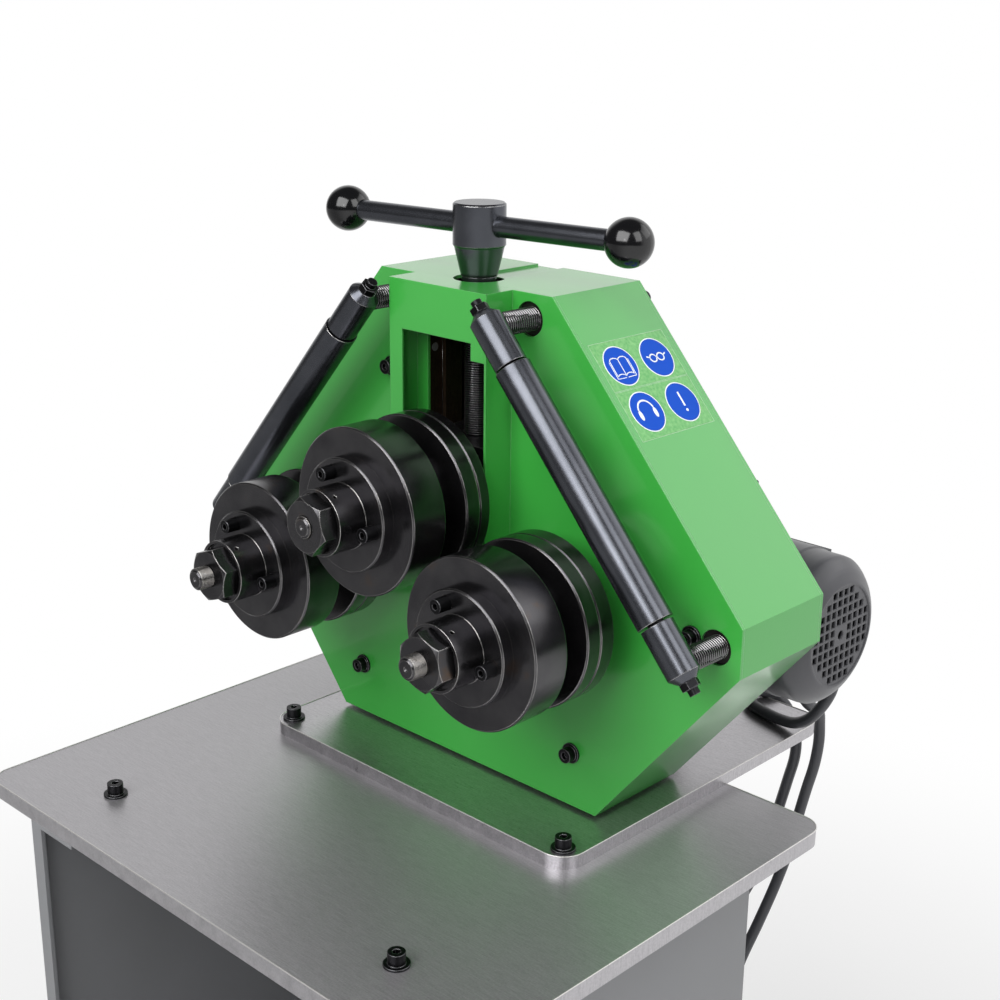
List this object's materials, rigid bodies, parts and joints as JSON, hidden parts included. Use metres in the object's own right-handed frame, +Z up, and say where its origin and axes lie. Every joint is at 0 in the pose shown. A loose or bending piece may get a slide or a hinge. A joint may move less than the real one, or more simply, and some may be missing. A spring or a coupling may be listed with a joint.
{
  "type": "ring roller",
  "caption": "Profile ring roller: three grooved bending rollers on a hexagonal casing, screw-fed upper roller with bar handle, swivel side guides, worm motor drive, table and pedestal.",
  "frame": {"origin": "on the floor, at the centre of the four floor anchor holes of the pedestal", "axes": "+Z up along the pedestal and the feed screw, -Y the way the bending rollers point (the operator's side), +X towards the motor's fan cover"},
  "size_m": [0.6, 0.6382, 1.3979],
  "materials": {
    "green_paint": "semi-gloss fine texture",
    "grey_paint": "fine texture",
    "ground_plate": "ground",
    "black_screws": "black oxide",
    "black_steel": "turned, black oxide",
    "raw_steel": "machined",
    "bearing_steel": "ground bright",
    "cast_alloy": "cast",
    "motor_paint": "semi-gloss",
    "motor_cover": "satin moulded",
    "knob": "polished",
    "lead_rubber": "satin"
  },
  "bodies": {
    "frame": {"pedestal": "grey_paint", "pedestal_back": "grey_paint", "pedestal_shelf": "grey_paint", "table_plate": "ground_plate", "base_plate": "ground_plate", "plate_bolts": "black_screws", "front_cover": "green_paint", "side_band": "green_paint", "rear_cover": "green_paint", "front_carrier": "raw_steel", "rear_carrier": "raw_steel", "tie_bars": "raw_steel", "casing_bolts": "black_screws", "slide_ways": "raw_steel", "nut_bridge": "raw_steel", "frame_bearings": "bearing_steel", "gearbox": "cast_alloy", "motor_body": "motor_paint", "fan_cover": "motor_cover", "terminal_box": "motor_cover", "control_box": "motor_cover", "motor_lead": "lead_rubber", "supply_lead": "lead_rubber"},
    "slide": {"carriage": "black_steel", "carriage_bearings": "bearing_steel"},
    "screw": {"spindle": "black_steel", "handle_hub": "black_steel", "handle_bar": "black_steel", "handle_knobs": "knob"},
    "upper_roller": {"upper_shaft": "black_steel", "upper_front_disc": "black_steel", "upper_core": "black_steel", "upper_rear_discs": "black_steel", "upper_flange": "black_steel", "upper_nut": "black_steel", "upper_screws": "black_screws"},
    "right_roller": {"right_shaft": "black_steel", "right_front_disc": "black_steel", "right_core": "black_steel", "right_rear_discs": "black_steel", "right_flange": "black_steel", "right_nut": "black_steel", "right_screws": "black_screws", "right_gear": "raw_steel"},
    "left_roller": {"left_shaft": "black_steel", "left_front_disc": "black_steel", "left_core": "black_steel", "left_rear_discs": "black_steel", "left_flange": "black_steel", "left_nut": "black_steel", "left_screws": "black_screws", "left_gear": "raw_steel"},
    "drive": {"drive_pinion": "raw_steel"},
    "rotor": {"motor_fan": "raw_steel"},
    "right_guide": {"right_guide_yoke": "black_steel", "right_guide_axle": "black_screws"},
    "right_sleeve": {"right_guide_sleeve": "black_steel"},
    "left_guide": {"left_guide_yoke": "black_steel", "left_guide_axle": "black_screws"},
    "left_sleeve": {"left_guide_sleeve": "black_steel"}
  },
  "joints": [
    {"name": "carriage_slide", "type": "slide", "parent": "frame", "child": "slide", "axis": [0, 0, 1], "range_m": [0, 0.08]},
    {"name": "handle_turn", "type": "hinge", "parent": "slide", "child": "screw", "pos_m": [0, 0.1011, 1.345], "axis": [0, 0, 1], "range_deg": [0, 14400.1]},
    {"name": "upper_roll", "type": "hinge", "parent": "slide", "child": "upper_roller", "pos_m": [0, 0.0815, 1.158], "axis": [0, 1, 0], "continuous": true},
    {"name": "right_roll", "type": "hinge", "parent": "frame", "child": "right_roller", "pos_m": [0.132, 0.0815, 1.0815], "axis": [0, 1, 0], "continuous": true},
    {"name": "left_roll", "type": "hinge", "parent": "frame", "child": "left_roller", "pos_m": [-0.132, 0.0815, 1.0815], "axis": [0, 1, 0], "continuous": true},
    {"name": "drive_turn", "type": "hinge", "parent": "frame", "child": "drive", "pos_m": [0, 0.0815, 0.9835], "axis": [0, 1, 0], "continuous": true},
    {"name": "rotor_turn", "type": "hinge", "parent": "frame", "child": "rotor", "pos_m": [0.2, 0.2605, 1.0435], "axis": [1, 0, 0], "continuous": true},
    {"name": "right_guide_slide", "type": "slide", "parent": "frame", "child": "right_guide", "axis": [0, 1, 0], "range_m": [-0.03, 0.005]},
    {"name": "right_sleeve_roll", "type": "hinge", "parent": "right_guide", "child": "right_sleeve", "pos_m": [0.17569, 0.0355, 1.19928], "axis": [0.6613, 0, -0.7501], "continuous": true},
    {"name": "left_guide_slide", "type": "slide", "parent": "frame", "child": "left_guide", "axis": [0, 1, 0], "range_m": [-0.03, 0.005]},
    {"name": "left_sleeve_roll", "type": "hinge", "parent": "left_guide", "child": "left_sleeve", "pos_m": [-0.17569, 0.0355, 1.19928], "axis": [-0.6613, 0, -0.7501], "continuous": true}
  ],
  "couplings": [
    {"joint": "handle_turn", "follows": "carriage_slide", "rad_per_m": 3141.6},
    {"joint": "left_roll", "follows": "right_roll", "ratio": 1},
    {"joint": "drive_turn", "follows": "right_roll", "ratio": -1.05},
    {"joint": "rotor_turn", "follows": "right_roll", "ratio": -63}
  ]
}
